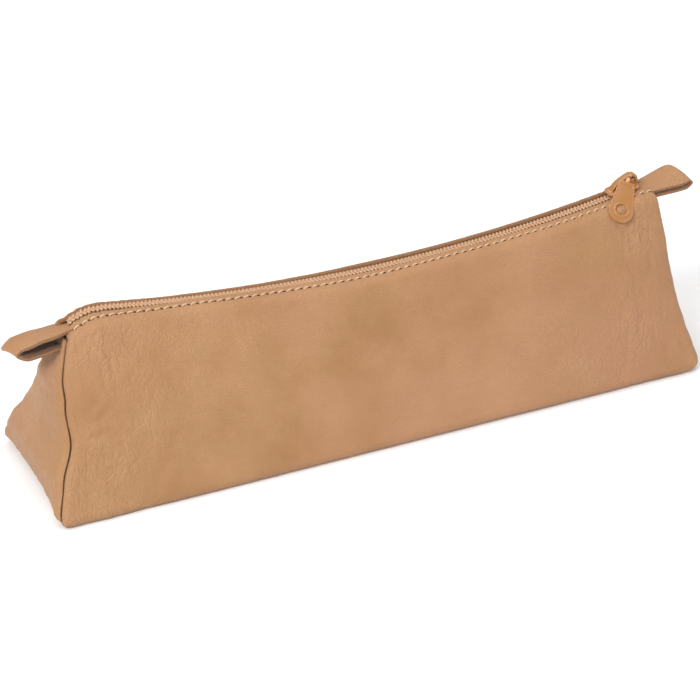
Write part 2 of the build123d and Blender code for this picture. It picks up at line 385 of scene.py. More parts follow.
# %% Zipper and thread materials
def woven_material(name, light, dark, pitch):
    """Plain weave read from the strip's own UV map, which is in metres."""
    material = principled(name, light, 0.8, Specular_IOR_Level=0.2, Sheen_Weight=0.25)
    tree = material.node_tree
    uv = add(tree, "ShaderNodeUVMap", uv_map="strip")
    weave = []
    for direction in ("X", "Y"):
        wave = add(tree, "ShaderNodeTexWave", [("Vector", uv.outputs[0]), ("Scale", 0.32 / pitch)],
                   bands_direction=direction)
        weave.append(wave.outputs["Fac"])
    threads = math_node(tree, "MAXIMUM", *weave)
    color = mix_color(tree, threads, (*dark, 1), (*light, 1))
    tree.links.new(color, tree.nodes["Principled BSDF"].inputs["Base Color"])
    bumped(material, threads, 0.7, 0.15 * MM)
    return material


def thread_material(name, light, dark):
    """Twisted thread: fine slanted plies."""
    material = principled(name, light, 0.55, Specular_IOR_Level=0.4, Sheen_Weight=0.2)
    tree = material.node_tree
    plies = add(tree, "ShaderNodeTexWave", [("Vector", place_on(tree)), ("Scale", 900.0),
                                            ("Distortion", 1.5)], bands_direction="DIAGONAL")
    patterned(material, plies, light, dark, 0.6, 0.1 * MM)
    return material


def nylon_material(name, light, dark, metallic=0.0):
    """Drawn wire of nylon, or of metal: a soft gloss over a slightly uneven colour."""
    material = principled(name, light, 0.32, Specular_IOR_Level=0.5, Coat_Weight=0.2,
                          Coat_Roughness=0.25, Metallic=metallic)
    tree = material.node_tree
    shade = noise_at(tree, place_on(tree), 500.0, 2.0)
    patterned(material, shade, light, dark, 0.2, 0.1 * MM)
    return material


def enamel_material(name, light, dark):
    """Thick enamel over cast zinc, with a faint orange peel and corners painted lighter as a painted
    highlight.
    """
    material = principled(name, light, 0.34, Specular_IOR_Level=0.5, Coat_Weight=0.35,
                          Coat_Roughness=0.2)
    tree = material.node_tree
    peel = noise_at(tree, place_on(tree), 700.0, 2.0)
    color = patterned(material, peel, light, dark, 0.25, 0.1 * MM)
    # Convex edges are painted a lighter tan: a painted highlight along the rims.
    corner = ramp(tree, add(tree, "ShaderNodeNewGeometry").outputs["Pointiness"], 0.52, 0.6)
    wear_and_edge_highlight = tuple(min(1, 1.6 * value + 0.10) for value in light)
    color = mix_color(tree, corner, color, (*wear_and_edge_highlight, 1))
    tree.links.new(color, tree.nodes["Principled BSDF"].inputs["Base Color"])
    return material


tape_weave = woven_material("tape_weave", (0.56, 0.33, 0.19), (0.36, 0.19, 0.10), 0.55 * MM)
nylon = nylon_material("tan_nylon", (0.60, 0.36, 0.21), (0.46, 0.25, 0.13))
pale_thread = thread_material("pale_thread", (0.80, 0.56, 0.36), (0.55, 0.34, 0.19))
enamel = enamel_material("tan_enamel", (0.385, 0.168, 0.046), (0.33, 0.14, 0.036))
# The pawl's steel is near black: painted shade, so the spot under the cap stays dark.
spring_steel = nylon_material("spring_steel", (0.16, 0.14, 0.12), (0.11, 0.10, 0.09), metallic=1.0)
# Near-black suede for the needle holes: painted shade inside each hole.
painted_hole_shade = suede_material("needle_hole", (0.05, 0.022, 0.01), (0.02, 0.01, 0.005))
print("materials:", len(bpy.data.materials))


# %% [markdown]
# ## Turning grids into pieces
# Most parts here are sheets, so they start as a grid of points: rows down the sheet, columns
# along it. One helper makes the mesh and its UV map, in metres, and another gives it thickness
# with the suede on the inside and the cut edge on the rim.

# %% Grid helpers
def grid_piece(name, points, materials, flip=False):
    """A mesh object from an array of points [row, column, xyz]."""
    rows, columns = points.shape[:2]
    vertices = points.reshape(-1, 3)
    faces = []
    for first in range(0, (rows - 1) * columns, columns):
        for corner in range(first, first + columns - 1):
            face = (corner, corner + 1, corner + columns + 1, corner + columns)
            faces.append(face[::-1] if flip else face)
    mesh = bpy.data.meshes.new(name)
    mesh.from_pydata(vertices.tolist(), [], faces)
    down = np.cumsum(np.linalg.norm(np.diff(points, axis=0, prepend=points[:1]), axis=2), axis=0)
    along = np.cumsum(np.linalg.norm(np.diff(points, axis=1, prepend=points[:, :1]), axis=2), axis=1)
    loops = np.array([loop.vertex_index for loop in mesh.loops])
    layer = mesh.uv_layers.new(name="strip")
    layer.data.foreach_set("uv", np.stack([along.ravel()[loops], down.ravel()[loops]], 1).ravel())
    mesh.shade_smooth()
    for material in materials:
        mesh.materials.append(material)
    piece = bpy.data.objects.new(name, mesh)
    scene.collection.objects.link(piece)
    return piece


def thicken(piece, thickness):
    """Gives a sheet its thickness, inward, with its own faces for the inside and the rim."""
    solid = piece.modifiers.new("thickness", "SOLIDIFY")
    solid.thickness = thickness
    solid.offset = -1
    if len(piece.data.materials) == 3:
        solid.material_offset = 1
        solid.material_offset_rim = 2


# %% [markdown]
# ## The leather wrap
# One hide panel makes the front, the base and the back. It is modelled as two half wraps that
# meet under the base, because each wall has to lean outward with its own half of the zipper. A
# half wrap is worked out row by row: flat beside the zipper, over a soft shoulder, straight down
# the wall, round the bottom fold, then under the base. At both ends the sheet rolls inward into
# the turned seam, which is what gives the soft corners. Seam puckers, slack and creases are
# pushed into the same grid along its normals.

# %% Wall section
FLAT, SHOULDER, WALL, FOLD, BASE = 8, 10, 76, 9, 8
ROLL_COLUMNS = 8
WRAP_COLUMNS = 330
ROLL_END = math.radians(112)
SEAM_ROLL = 1.8 * MM
SEAM_STEP = 0.7 * MM
# Height of the leather's upper face above the tapes, which rises and falls along the mouth.
EDGE_LIFT = {
    "front": [(-95, 0.9), (-80, 0.9), (-70, 1.3), (-52, 2.0), (-36, 1.9), (0, 1.4), (26, 1.8),
              (47, 1.6), (65, 1.3), (100, 1.4)],
    "back": [(-95, 0.9), (-80, 0.9), (-68, 0.8), (-36, 1.0), (-17, 1.2), (2, 1.5), (90, 1.5)],
}
EDGE_DROP = {"front": math.radians(6), "back": math.radians(34)}
FLAT_LENGTH = {"front": 2.8 * MM, "back": 1.6 * MM}
SHOULDER_RADIUS = {"front": 3.4 * MM, "back": 3.0 * MM}


def direction(angle):
    """Unit normal (y, z) of the front's outer face: 0 faces the front, a right angle faces up."""
    return np.stack([-np.cos(angle), np.sin(angle)], -1)


def wrap_section(x, row, wall):
    """Place, outward normal and opening weight of the outer face at one row, for the front."""
    one = np.ones_like(x)
    top_angle = (math.pi / 2 - EDGE_DROP[wall]) * one
    edge = np.stack([-raw_edge_y * one, zip_z(x) + through(EDGE_LIFT[wall], x)], -1)
    outward = direction(top_angle - math.pi / 2)
    start = edge + FLAT_LENGTH[wall] * outward
    radius = SHOULDER_RADIUS[wall]
    high = start - radius * direction(top_angle)
    low = np.stack([(fold_radius - half_width) * one, fold_radius * one], -1)
    span = low - high
    distance = np.linalg.norm(span, axis=-1)
    cosine = (radius - fold_radius) / distance
    unit = span / distance[:, None]
    normal = cosine[:, None] * unit
    normal = normal + np.sqrt(1 - cosine**2)[:, None] * np.stack([unit[:, 1], -unit[:, 0]], -1)
    wall_angle = np.arctan2(normal[:, 1], -normal[:, 0])
    if row < FLAT:
        return edge + (row / FLAT) * (start - edge), direction(top_angle), one
    row -= FLAT
    if row < SHOULDER:
        turn = top_angle + (wall_angle - top_angle) * row / SHOULDER
        return high + radius * direction(turn), direction(turn), one
    row -= SHOULDER
    if row < WALL:
        t = row / WALL
        return (high + radius * normal) * (1 - t) + (low + fold_radius * normal) * t, normal, one
    row -= WALL
    if row < FOLD:
        t = row / FOLD
        turn = wall_angle * (1 - t) - math.pi / 2 * t
        return low + fold_radius * direction(turn), direction(turn), (1 - t) * one
    t = (row - FOLD) / BASE
    return np.stack([low[:, 0] * (1 - t), 0 * x], -1), direction(-math.pi / 2 * one), 0 * x


# %% Creases and slack
# Pressed creases of the front wall, as (x, z) runs in millimetres with a depth and a width.
CREASES = [
    ((-84, 47), (-83, 40), 0.30, 0.8), ((-81.5, 48), (-82.5, 41), 0.34, 0.9),
    ((-80, 45), (-81, 38), 0.22, 0.8), ((-76, 48), (-76.5, 44), 0.15, 0.7),
    ((-96, 27), (-84, 32), 0.40, 1.2), ((-97, 24), (-86, 25), 0.38, 1.1),
    ((-97, 22), (-85, 17), 0.42, 1.2), ((-98, 20), (-90, 12), 0.34, 1.0),
    ((-95, 29), (-87, 36), 0.28, 1.0), ((-90, 20), (-83, 21), 0.22, 0.9),
    ((86, 46), (92, 39), 0.30, 0.9), ((84, 44), (87, 36), 0.26, 0.9), ((90, 47), (97, 41), 0.3, 0.9),
    ((80, 44), (79, 36), 0.20, 0.8), ((92, 40), (97, 32), 0.28, 1.0), ((86, 36), (92, 27), 0.2, 1.0),
    ((94, 12), (101, 8), 0.26, 1.0), ((93, 8), (100, 4), 0.20, 0.9),
]
STITCH_PITCH = 2.7 * MM
STITCH_IN = {"front": 2.15 * MM, "back": 3.0 * MM}


def crease_depth(x, z, run):
    """Depth of one pressed crease at points of the wall."""
    (x0, z0), (x1, z1), depth, width = run
    start, way = np.array([x0, z0]) * MM, np.array([x1 - x0, z1 - z0]) * MM
    offset = np.stack([x, z], -1) - start
    t = np.clip(offset @ way / (way @ way), 0, 1)
    bend = np.array([way[1], -way[0]]) * 0.10 * np.sin(np.pi * t)[:, None]
    away = np.linalg.norm(offset - t[:, None] * way - bend, axis=-1)
    return depth * MM * np.exp(-((away / (width * MM)) ** 2)) * np.sin(np.pi * np.clip(t, 0.08, 0.92))


def wall_relief(points, share, wall, seed):
    """How far the soft leather stands proud of its plain shape, in metres."""
    x, z = points[:, 0], points[:, 2]
    belly = np.sin(np.pi * np.clip(share, 0, 1))
    relief = 0.8 * MM * belly * np.cos(np.pi * x / (2.4 * half_length))
    relief = relief + 0.75 * MM * fbm(points, 40 * MM, 2, seed) * belly**0.5
    ends = np.maximum(smooth(-x, 50 * MM, 90 * MM), smooth(x, 62 * MM, 92 * MM))
    soft = fbm(points * np.array([1, 0.5, 0.5]), 8 * MM, 3, seed + 1)
    relief = relief + (0.08 + 0.20 * ends) * MM * soft * smooth(share, 0.02, 0.15)
    fine = np.abs(fbm(points * np.array([1, 0.35, 0.35]), 3.2 * MM, 2, seed + 2))
    relief = relief - (0.03 + 0.19 * ends) * MM * np.clip(0.3 - fine, 0, 1) / 0.3
    if wall == "front":
        for run in CREASES:
            relief = relief - crease_depth(x, z, run)
    return relief


# %% Half wrap
def half_wrap(wall, seed):
    """Points and opening weights of the wrap's front or back half, both built as a front."""
    rows = FLAT + SHOULDER + WALL + FOLD + BASE + 1
    share = np.linspace(0, 1, WRAP_COLUMNS)
    points = np.zeros((rows, WRAP_COLUMNS + 2 * ROLL_COLUMNS, 3))
    weights = np.zeros(points.shape[:2])
    for row in range(rows):
        low = FLAT + SHOULDER + WALL
        roll = SEAM_ROLL - 0.3 * MM * smooth(row, low - 14, low)
        x = (share * 2 - 1) * half_length
        for _ in range(4):
            place, normal, weight = wrap_section(x, row, wall)
            left = end_x(-1, wall, place[:, 0], place[:, 1]) + roll + SEAM_STEP
            right = end_x(1, wall, place[:, 0], place[:, 1]) - roll - SEAM_STEP
            x = left + share * (right - left)
        sheet = np.column_stack([x, place])
        inset = np.minimum(x - left, right - x)
        down = np.clip((row - FLAT) / (SHOULDER + WALL), 0, 1)
        relief = wall_relief(sheet, down, wall, seed) * weight**0.5
        relief = relief * (0.35 + 0.65 * smooth(inset, 0, 5 * MM))
        pucker = 0.5 + 0.5 * np.cos(2 * np.pi * x / STITCH_PITCH)
        if row < FLAT + SHOULDER:
            along = row / FLAT * FLAT_LENGTH[wall]
            relief = relief - np.exp(-(((along - STITCH_IN[wall]) / (0.55 * MM)) ** 2)) * (
                0.10 + 0.16 * pucker) * MM
        sheet[:, 1:] += normal * relief[:, None]
        points[row, ROLL_COLUMNS:-ROLL_COLUMNS] = sheet
        weights[row, ROLL_COLUMNS:-ROLL_COLUMNS] = weight
        for end, first in ((-1, 0), (1, WRAP_COLUMNS - 1)):
            for step in range(1, ROLL_COLUMNS + 1):
                turn = ROLL_END * step / ROLL_COLUMNS
                column = ROLL_COLUMNS - step if end < 0 else ROLL_COLUMNS + WRAP_COLUMNS - 1 + step
                points[row, column, 0] = sheet[first, 0] + end * roll * math.sin(turn)
                points[row, column, 1:] = sheet[first, 1:] - normal[first] * roll * (1 - math.cos(turn))
    points[:, :, 2] = np.maximum(points[:, :, 2], 0)
    if wall == "back":
        points[:, :, 1] *= -1
    return points, weights


wraps = {wall: half_wrap(wall, seed) for wall, seed in (("front", 1.0), ("back", 5.0))}
print("half wrap:", wraps["front"][0].shape, "points")

# %% [markdown]
# ## How the mouth opens
# The walls stay sewn to the end panels, so when the slider runs back the mouth opens as a lens:
# nothing at the two ends, most in the middle. Every part that lies along the mouth goes through
# one helper, which bakes its place into its mesh.


def opens(piece):
    """Bakes the piece's place into its mesh."""
    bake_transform(piece)


for wall, (points, weights) in wraps.items():
    piece = grid_piece(wall + "_wrap", points, LEATHER_SET, flip=(wall == "front"))
    thicken(piece, leather)
    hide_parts(wall + "_panel", wall + "_band", "base_panel")
    opens(piece)
    print(piece.name, len(piece.data.polygons), "faces")

# %% [markdown]
# ## End panels
# Each end panel is a soft triangle that fills the space between the two rolled seams and the
# base. Its edge starts in the seam's crease and swells outward within two millimetres, so the
# crease reads as a dark line. It bellies out at half height, and is drawn in both under the tab
# and at the bottom.

# %% End panels
def end_panel(side, seed):
    """Grid from the upper corner of the seams down to the base, front to back."""
    column = 0 if side < 0 else -1
    rows = range(FLAT + 2, FLAT + SHOULDER + WALL + FOLD + 1)
    front = np.array([wraps["front"][0][row, column] for row in rows])
    back = np.array([wraps["back"][0][row, column] for row in rows])
    s = 0.5 - 0.5 * np.cos(np.linspace(0, np.pi, 61))
    grid = front[:, None] * (1 - s)[:, None] + back[:, None] * s[:, None]
    flat = grid.reshape(-1, 3)
    half = np.linalg.norm(front - back, axis=-1)
    to_side = (np.minimum(s, 1 - s)[None, :] * half[:, None]).ravel()
    to_base = flat[:, 2] - flat[:, 2].min()
    depth = 1.9 * MM * smooth(np.minimum(to_side, to_base), -1.2 * MM, 2.2 * MM)
    up = flat[:, 2] / end_height
    belly = 1.5 * MM * np.sin(np.pi * np.clip(up * 1.1, 0, 1)) * np.sin(np.pi * np.tile(s, len(front)))
    drawn = 2.0 * MM * np.clip(1 - (flat[:, 1] / (24 * MM)) ** 2, 0, 1) * (
        1 - smooth(flat[:, 2], 2 * MM, 14 * MM))
    drawn = drawn + 2.2 * MM * smooth(flat[:, 2], 34 * MM, 44 * MM) * np.sin(
        np.pi * np.tile(s, len(front)))
    soft = fbm(flat, 13 * MM, 3, seed) * 0.45 * MM * smooth(to_side, 0, 5 * MM)
    fine = np.abs(fbm(flat, 5 * MM, 2, seed + 1))
    soft = soft - 0.16 * MM * np.clip(0.3 - fine, 0, 1) / 0.3 * smooth(to_side, 0, 3 * MM)
    flat[:, 0] += side * (depth + belly - drawn + soft)
    return flat.reshape(grid.shape)


for name, side, seed in (("left", -1, 11.0), ("right", 1, 13.0)):
    piece = grid_piece(name + "_end_panel", end_panel(side, seed), LEATHER_SET, flip=(side > 0))
    thicken(piece, leather)
    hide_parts(name + "_gusset")
    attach(piece, "shell")
    print(piece.name, len(piece.data.polygons), "faces")

# %% [markdown]
# ## End tabs
# A tab is a strip folded back on itself and caught in the end seam. It's one sheet whose path
# runs out along the top layer, round the fold at the tip and back underneath. The left tab's
# layers stand apart, which shows its suede, painted dark as painted shade in the gap; the right
# tab's are pressed together.

# %% End tabs
def tab(side, root, rises, length, halves, gap, skew, tilt, pointed, seed):
    """Folded strip: rises are the slopes at its root and tip, halves its half widths there."""
    outline, columns = 40, 18
    t = np.sin(np.linspace(0, np.pi / 2, outline))
    swell = np.interp(t, [0, 0.25, 0.6, 0.85, 1], gap) * MM
    thick = leather * 0.85 + swell / 2
    thick = thick * np.sqrt(np.clip(1 - np.clip((t - 0.86) / 0.14, 0, 1) ** 2, 0, 1))
    slope = np.radians(rises[0] + (rises[1] - rises[0]) * t)
    step = np.diff(t, prepend=0) * length
    spine = np.stack([np.cumsum(step * np.cos(slope)), np.cumsum(step * np.sin(slope))], -1)
    across = np.stack([-np.sin(slope), np.cos(slope)], -1)
    path = np.concatenate([spine + across * thick[:, None],
                           (spine - across * thick[:, None])[-2::-1]])
    along = np.concatenate([t, t[-2::-1]])
    half = halves[0] + (halves[1] - halves[0]) * smooth(along, 0.05, 0.75)
    half = half - pointed * smooth(along, 0.8, 1.0)
    v = np.linspace(-1, 1, columns)
    grid = np.zeros((len(path), columns, 3))
    grid[:, :, 1] = root[2] + half[:, None] * v
    grid[:, :, 0] = side * (root[0] + path[:, :1] - skew * v * along[:, None])
    grid[:, :, 2] = root[1] + path[:, 1:] + (tilt[0] + (tilt[1] - tilt[0]) * along[:, None]) * v
    flat = grid.reshape(-1, 3)
    flat[:, 2] += 0.25 * MM * fbm(flat, 7 * MM, 2, seed)
    cup = 0.5 * MM * (np.tile(v, len(path)) ** 2) * np.repeat(along, columns)
    flat[:, 2] -= cup
    return grid


TABS = {
    "left": (-1, (88.5 * MM, 47.7 * MM, -0.2 * MM), (-1, -8), 20.9 * MM, (4.4 * MM, 4.5 * MM),
             [3.4, 3.3, 3.0, 2.0, 0.5], -1.3 * MM, (-1.3 * MM, -0.2 * MM), 1.0 * MM, 21.0),
    "right": (1, (95 * MM, 54.2 * MM, 0.0), (9, 13), 18.0 * MM, (3.7 * MM, 4.9 * MM),
              [0.1, 0.1, 0.2, 0.3, 0.2], 1.4 * MM, (0.0, 1.2 * MM), 0.7 * MM, 23.0),
}
for name, sizes in TABS.items():
    piece = grid_piece(name + "_folded_tab", tab(*sizes), LEATHER_SET, flip=(name == "right"))
    thicken(piece, 1.05 * MM)
    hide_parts(name + "_tab")
    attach(piece, "shell")
    print(piece.name, len(piece.data.polygons), "faces")

# %% [markdown]
# ## Zipper tapes
# Each woven tape lies flat beside the coil, slides under the leather's raw edge and runs down
# inside the wall, where the top seam catches it. Its outer rows are taken from the leather's own
# section, set in by the leather's thickness, so that the two never part.

# %% Zipper tapes
ZIP_START, COIL_END, CHAIN_END, TAPE_END = -91 * MM, 87 * MM, 96 * MM, 96.5 * MM


def tape_grid(wall):
    """Rows from the coil outward, then down inside the wall."""
    x = np.linspace(ZIP_START, TAPE_END, 260)
    rows = []
    for y in (0.35, 1.2, 2.1):
        rows.append(np.column_stack([x, 0 * x - y * MM, zip_z(x)]))
    for row in (3, 6, 9, 12, 15, 18, 22, 26, 30):
        place, normal, _ = wrap_section(x, row, wall)
        inside = place - normal * (leather + 0.25 * MM)
        rows.append(np.column_stack([x, inside]))
    grid = np.array(rows)
    if wall == "back":
        grid[:, :, 1] *= -1
    return grid


for wall in wraps:
    piece = grid_piece(wall + "_woven_tape", tape_grid(wall), [tape_weave], flip=(wall == "front"))
    thicken(piece, 0.45 * MM)
    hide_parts(wall + "_tape")
    opens(piece)
    print(piece.name, len(piece.data.polygons), "faces")

# %% [markdown]
# ## Repeats along a line
# Coil turns and stitches repeat along a line, so Geometry Nodes lays them. One node group takes a
# bare line of edges, resamples it at a pitch and puts a small part on every point, turned to face
# along the line. The result is baked into one mesh for each body that carries it.

# %% Node group for repeats
repeats = bpy.data.node_groups.new("repeat_along_line", "GeometryNodeTree")
sockets = {}
for name, kind in (("Line", "Geometry"), ("Part", "Object"), ("Pitch", "Float"), ("Turn", "Float"),
                   ("Wobble", "Float"), ("Seed", "Int"), ("Material", "Material")):
    made = repeats.interface.new_socket(name, in_out="INPUT", socket_type="NodeSocket" + kind)
    sockets[name] = made.identifier
repeats.interface.new_socket("Parts", in_out="OUTPUT", socket_type="NodeSocketGeometry")
given = repeats.nodes.new("NodeGroupInput").outputs
curve = add(repeats, "GeometryNodeMeshToCurve", [(0, given["Line"])]).outputs[0]
resample = add(repeats, "GeometryNodeResampleCurve", [("Curve", curve)], mode="LENGTH")
repeats.links.new(given["Pitch"], resample.inputs["Length"])
tangent = add(repeats, "GeometryNodeInputTangent").outputs[0]
facing = add(repeats, "FunctionNodeAlignRotationToVector", [("Vector", tangent)], axis="X",
             pivot_axis="Y").outputs[0]
chance = add(repeats, "FunctionNodeRandomValue", [("Seed", given["Seed"])], data_type="FLOAT")
chance.inputs[2].default_value, chance.inputs[3].default_value = -1.0, 1.0
wobble = math_node(repeats, "MULTIPLY", chance.outputs[1], given["Wobble"])
turn = math_node(repeats, "ADD", wobble, given["Turn"])
spin = add(repeats, "ShaderNodeCombineXYZ", [(2, turn)]).outputs[0]
spin = add(repeats, "FunctionNodeEulerToRotation", [(0, spin)]).outputs[0]
facing = add(repeats, "FunctionNodeRotateRotation", [(0, facing), (1, spin)],
             rotation_space="LOCAL").outputs[0]
part = add(repeats, "GeometryNodeObjectInfo", [("Object", given["Part"])]).outputs["Geometry"]
placed = add(repeats, "GeometryNodeInstanceOnPoints", [("Points", resample.outputs[0]),
                                                       ("Instance", part), ("Rotation", facing)])
real = add(repeats, "GeometryNodeRealizeInstances", [(0, placed.outputs[0])]).outputs[0]
dressed = add(repeats, "GeometryNodeSetMaterial", [("Geometry", real),
                                                   ("Material", given["Material"])]).outputs[0]
repeats.links.new(dressed, repeats.nodes.new("NodeGroupOutput").inputs[0])


def lay(name, line, part, pitch, material, turn=0.0, wobble=0.0, seed=1):
    """Bakes copies of a part along a line of points; returns the mesh."""
    mesh = bpy.data.meshes.new(name)
    mesh.from_pydata([tuple(p) for p in line], [(i, i + 1) for i in range(len(line) - 1)], [])
    carrier = bpy.data.objects.new(name, mesh)
    scene.collection.objects.link(carrier)
    modifier = carrier.modifiers.new("repeat", "NODES")
    modifier.node_group = repeats
    for key, value in (("Part", part), ("Pitch", pitch), ("Turn", turn), ("Wobble", wobble),
                       ("Seed", seed), ("Material", material)):
        modifier[sockets[key]] = value
    evaluated = carrier.evaluated_get(bpy.context.evaluated_depsgraph_get())
    baked = bpy.data.meshes.new_from_object(evaluated)
    bpy.data.objects.remove(carrier)
    baked.shade_smooth()
    return baked


def finish_piece(name, meshes, node, body=None, wall=None):
    """Joins baked meshes into one named piece and gives it to its body; a wall's piece only has its place
    baked.
    """
    joined = bmesh.new()
    materials = []
    for mesh in meshes:
        for material in mesh.materials:
            if material not in materials:
                materials.append(material)
        first = len(joined.faces)
        joined.from_mesh(mesh)
        joined.faces.ensure_lookup_table()
        for face in joined.faces[first:]:
            face.material_index = materials.index(mesh.materials[face.material_index])
    mesh = bpy.data.meshes.new(name)
    joined.to_mesh(mesh)
    joined.free()
    for material in materials:
        mesh.materials.append(material)
    piece = bpy.data.objects.new(name, mesh)
    scene.collection.objects.link(piece)
    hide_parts(node)
    if wall:
        opens(piece)
    else:
        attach(piece, body)
    print(piece.name, len(mesh.polygons), "faces")


# %% Small parts to repeat
def tube(points, radius, sides=8, cap=True):
    """Vertices and faces of a round tube through points; radius may vary."""
    points = np.asarray(points, float)
    radius = np.broadcast_to(radius, len(points))
    ahead = np.gradient(points, axis=0)
    ahead /= np.linalg.norm(ahead, axis=1)[:, None]
    side = np.cross(ahead, [0, 0, 1.0])
    side[np.linalg.norm(side, axis=1) < 0.2] = (0, 1, 0)
    for i in range(1, len(side)):
        side[i] = side[i - 1] - ahead[i] * (side[i - 1] @ ahead[i])
        side[i] /= np.linalg.norm(side[i])
    side /= np.linalg.norm(side, axis=1)[:, None]
    up = np.cross(side, ahead)
    angles = np.linspace(0, 2 * np.pi, sides, endpoint=False)
    ring = np.cos(angles)[None, :, None] * side[:, None] + np.sin(angles)[None, :, None] * up[:, None]
    vertices = (points[:, None] + ring * radius[:, None, None]).reshape(-1, 3)
    faces = []
    for r in range(len(points) - 1):
        for k in range(sides):
            n = (k + 1) % sides
            faces.append((r * sides + k, (r + 1) * sides + k, (r + 1) * sides + n, r * sides + n))
    if cap:
        faces.append(tuple(range(sides)))
        faces.append(tuple(len(vertices) - sides + k for k in reversed(range(sides))))
    return vertices, faces


def small_part(name, vertices, faces, material):
    """A helper object that isn't linked to the scene, so it never shows by itself."""
    mesh = bpy.data.meshes.new(name)
    mesh.from_pydata([tuple(v) for v in vertices], [], faces)
    mesh.materials.append(material)
    helper = bmesh.new()
    helper.from_mesh(mesh)
    bmesh.ops.recalc_face_normals(helper, faces=helper.faces)
    helper.to_mesh(mesh)
    helper.free()
    return bpy.data.objects.new(name, mesh)


COIL_PITCH = 1.2 * MM
COIL_MIDDLE = 0.5 * MM
FLATTENED = 0.56           # height of a turn against that of a round one
COIL_HALF = 0.65 * MM      # middle of one side's turns, from the zipper's middle line
CORD_RADIUS = 0.16 * MM
CHAIN_OUT = 1.95 * MM      # chain stitches, from the zipper's middle line


def coil_turn(side):
    """One flattened turn of the coil: a slanting upper leg, a rounded head and a lower leg."""
    a = np.linspace(-np.pi, np.pi, 25)
    reach = np.sign(np.cos(a)) * np.abs(np.cos(a)) ** 0.75
    y = side * (COIL_HALF - 0.57 * MM * reach)
    z = 0.42 * MM * np.sign(np.sin(a)) * np.abs(np.sin(a)) ** 0.8
    x = a / (2 * np.pi) * COIL_PITCH
    radius = (0.39 - 0.10 * np.clip(reach, 0, 1) ** 4) * MM
    vertices, faces = tube(np.column_stack([x, y, z]), radius, cap=False)
    vertices[:, 2] = COIL_MIDDLE + FLATTENED * vertices[:, 2]
    return vertices, faces


def stitch():
    """One lockstitch: a thick, rounded run of thread that dips into a needle hole at each end."""
    t = np.linspace(-1, 1, 13)
    points = np.column_stack([t * 0.92, 0.40 * t, 0.22 - 0.44 * np.abs(t) ** 3]) * MM
    return tube(points, 0.23 * MM * np.sqrt(1.05 - t**6), 10)


def pip(size):
    """A small rounded bead, flattened by its three half sizes."""
    t = np.linspace(-1, 1, 7)
    points = np.column_stack([t * size[0], 0 * t, 0 * t]) * MM
    vertices, faces = tube(points, size[1] * MM * np.sqrt(1.02 - t**2), 8)
    vertices[:, 2] *= size[2] / size[1]
    return vertices, faces


turns = {"front": small_part("turn_f", *coil_turn(-1), nylon),
         "back": small_part("turn_b", *coil_turn(1), nylon)}
run = small_part("run", *stitch(), pale_thread)
# The hole is a dark flat bead between the stitches: painted shade in each needle hole.
hole = small_part("hole", *pip((0.46, 0.40, 0.17)), painted_hole_shade)
chain = small_part("chain", *pip((0.52, 0.17, 0.15)), pale_thread)
print("one turn of the coil has", len(turns["front"].data.vertices), "points")


# %% Coil, cord and chain stitches
def zip_line(y, height, start, end):
    """Points along the zipper at a distance from its middle and above its tapes."""
    x = np.linspace(start, end, 400)
    return np.column_stack([x, 0 * x + y, zip_z(x) + height])


for wall, sign in (("front", -1), ("back", 1)):
    shift = 0.0 if wall == "front" else COIL_PITCH / 2
    line = zip_line(0, 0, ZIP_START - 0.2 * MM + shift, COIL_END + 0.5 * MM + shift)
    coil = lay("coil", line, turns[wall], COIL_PITCH, nylon)
    finish_piece(wall + "_coil_turns", [coil], wall + "_coil", wall=wall)
    core = zip_line(sign * COIL_HALF, COIL_MIDDLE, ZIP_START, COIL_END)
    cord = small_part("cord", *tube(core, CORD_RADIUS), pale_thread).data
    finish_piece(wall + "_filler_cord", [cord], wall + "_coil_cord", wall=wall)
    line = zip_line(sign * CHAIN_OUT, 0.1 * MM, ZIP_START, CHAIN_END)
    links = lay("links", line, chain, COIL_PITCH, pale_thread, turn=sign * 0.25)
    finish_piece(wall + "_chain_stitch", [links], wall + "_coil_thread", wall=wall)


# %% Top stitching
SEAM_START, SEAM_END = -90.45 * MM, 97.2 * MM
BACK_TURN = 0.5            # about how far, in radians, the back's shoulder turns from edge to wall


def seam_line(wall, start):
    """Points on the leather's upper face along the top seam."""
    x = np.linspace(start, SEAM_END, 500)
    over = (STITCH_IN[wall] - FLAT_LENGTH[wall]) / SHOULDER_RADIUS[wall]
    row = FLAT * STITCH_IN[wall] / FLAT_LENGTH[wall]
    if over >= 0:
        row = FLAT + SHOULDER * over / BACK_TURN
    place, normal, _ = wrap_section(x, row, wall)
    place = place - 0.14 * MM * normal
    return np.column_stack([x, place]) * np.array([1, -1 if wall == "back" else 1, 1])


for wall, sign in (("front", -1), ("back", 1)):
    line = seam_line(wall, SEAM_START)
    threads = lay("threads", line, run, STITCH_PITCH, pale_thread, turn=0.12 * sign, wobble=0.07, seed=3)
    # Dark beads between the stitches are painted shade in the needle holes.
    line = seam_line(wall, SEAM_START + STITCH_PITCH / 2)
    holes = lay("holes", line, hole, STITCH_PITCH, painted_hole_shade)
    finish_piece(wall + "_top_stitches", [threads, holes], wall + "_topstitch", wall=wall)

# %% [markdown]
# ## Slider and pull
# These are small castings, so they start as flat outlines with holes. A filled curve with a
# little thickness and a rounded bevel becomes each plate, and a matrix carries it to its place
# on the zipper. The pull gets a raised rim and a raised ring round its hole.

# %% Casting helpers
tilt = math.asin(slider_x / zip_radius)
on_slider = Matrix.Translation((0, 0, zip_axis_z)) @ Matrix.Rotation(-tilt, 4, "Y") @ (
    Matrix.Translation((0, 0, -zip_radius)))


